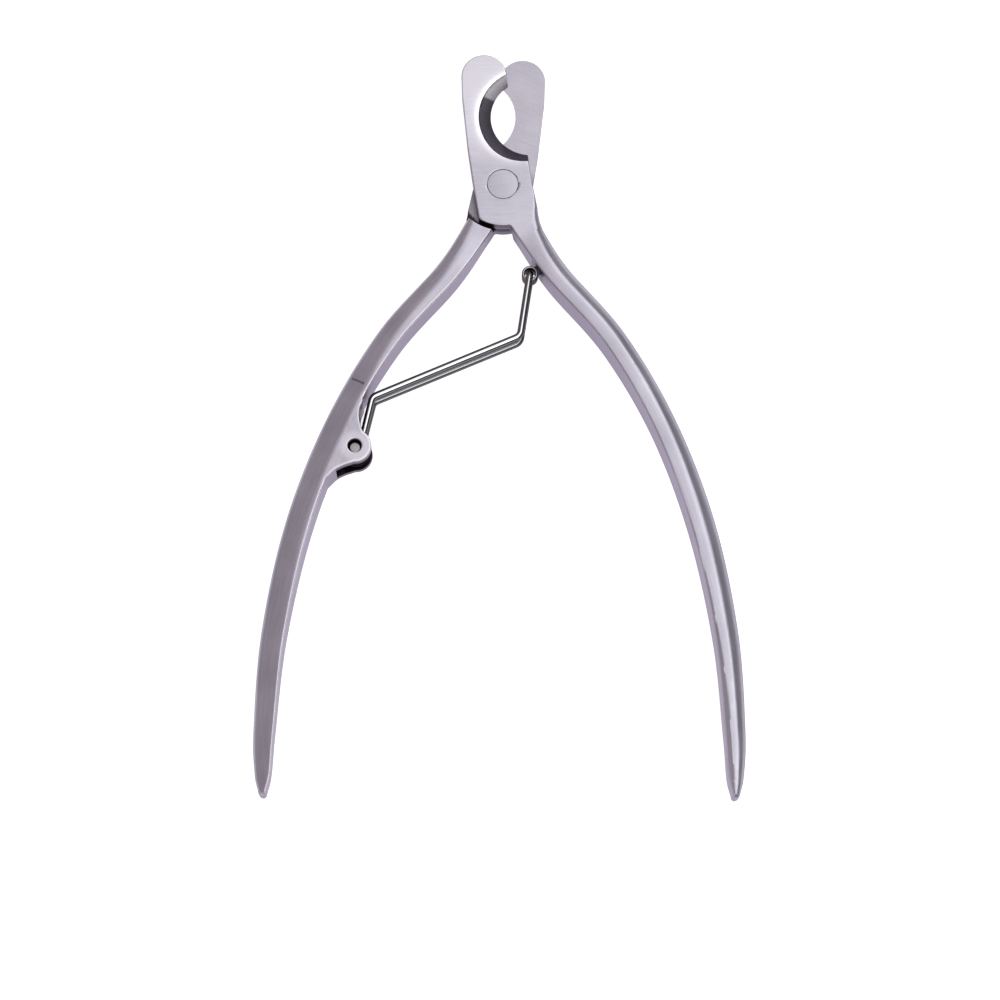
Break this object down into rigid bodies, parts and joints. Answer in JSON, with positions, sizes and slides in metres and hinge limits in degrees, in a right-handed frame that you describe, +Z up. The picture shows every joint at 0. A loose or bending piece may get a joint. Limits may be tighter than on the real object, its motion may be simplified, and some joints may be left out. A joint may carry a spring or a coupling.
{
  "type": "scissor nail clipper",
  "caption": "Scissor-type claw clipper: crossed steel levers with a hollow bypass cutting eye, curved handles and a folded wire return spring.",
  "frame": {"origin": "middle of the footprint, on the plane that the handles rest on", "axes": "+Y from the handle ends to the jaws, +Z up out of the plane that the tool lies on, along the pivot axis; the jaw on top is on the -X side"},
  "size_m": [0.0698, 0.1122, 0.0062],
  "materials": {
    "lever_steel": "satin-brushed stainless steel, fine grinding lines on the jaws, polished edges",
    "rivet_steel": "ground flush with the joint plates",
    "pin_steel": "bright turned steel",
    "spring_wire": "bright drawn spring wire"
  },
  "bodies": {
    "back_lever_body": {"back_lever": "lever_steel", "pivot_rivet": "rivet_steel", "spring_pin": "pin_steel"},
    "front_lever_body": {"front_lever": "lever_steel", "spring_eye": "pin_steel"},
    "spring_hook_body": {"spring_hook_arm": "spring_wire"},
    "spring_eye_body": {"spring_eye_arm": "spring_wire"}
  },
  "joints": [
    {"name": "handle_close", "type": "hinge", "parent": "back_lever_body", "child": "front_lever_body", "pos_m": [0, 0.03555, 0.0031], "axis": [0, 0, -1], "range_deg": [0, 15], "stiffness_Nm_per_rad": 1.5, "springref_deg": -2.86},
    {"name": "spring_swing", "type": "hinge", "parent": "back_lever_body", "child": "spring_hook_body", "pos_m": [-0.0212, -0.0052, 0.0031], "axis": [0, 0, 1], "range_deg": [-1, 0]},
    {"name": "spring_flex", "type": "hinge", "parent": "spring_hook_body", "child": "spring_eye_body", "pos_m": [0.0027, 0.01205, 0.0031], "axis": [0, 0, 1], "range_deg": [0, 24.5]}
  ],
  "couplings": [
    {"joint": "spring_swing", "follows": "handle_close", "ratio": -0.0661},
    {"joint": "spring_flex", "follows": "handle_close", "ratio": 1.603}
  ]
}
